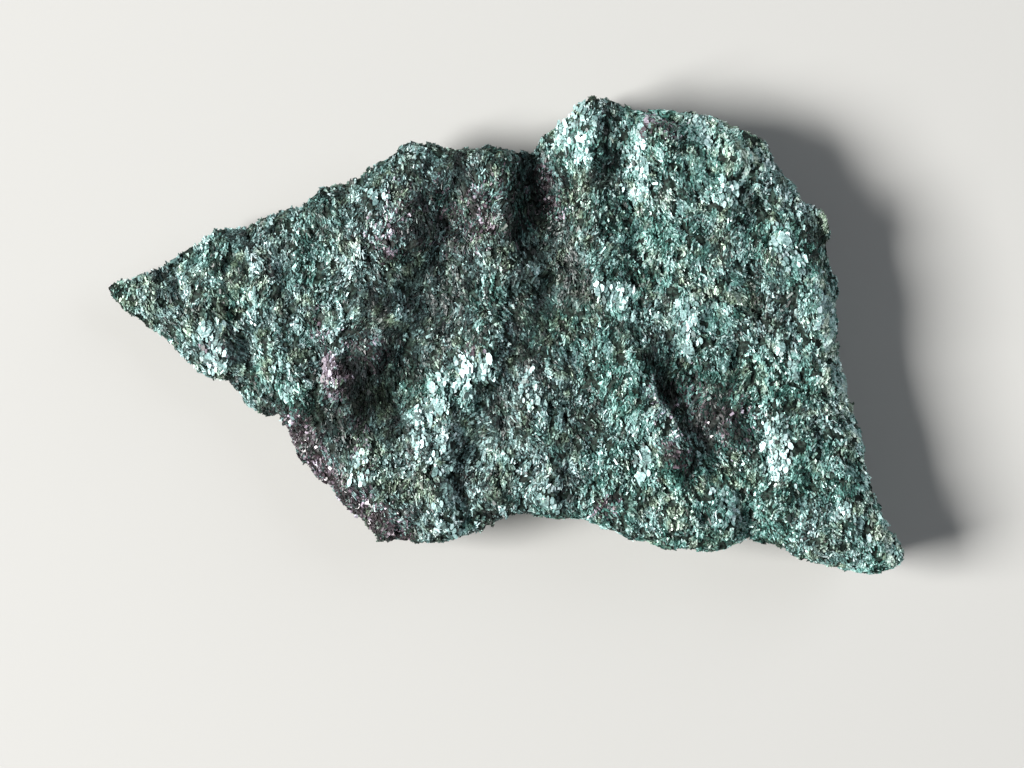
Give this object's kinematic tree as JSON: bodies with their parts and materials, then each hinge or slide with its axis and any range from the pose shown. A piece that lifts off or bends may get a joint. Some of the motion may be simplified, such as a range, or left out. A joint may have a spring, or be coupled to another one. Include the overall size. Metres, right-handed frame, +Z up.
{
  "type": "ruby in fuchsite specimen",
  "caption": "Flat, rough hand specimen of green fuchsite mica schist with plum-red ruby grains, broken on every side, lying on its flat cleavage face.",
  "frame": {"origin": "on the plane the stone rests on, under the middle of its outline", "axes": "+X from the pointed end to the broad end, along the stone's length; +Z up, out of the broken upper face"},
  "size_m": [0.0964, 0.057, 0.0159],
  "materials": {
    "fuchsite_schist": "satin"
  },
  "bodies": {
    "root": {"ruby_fuchsite_stone": "fuchsite_schist"}
  },
  "joints": []
}
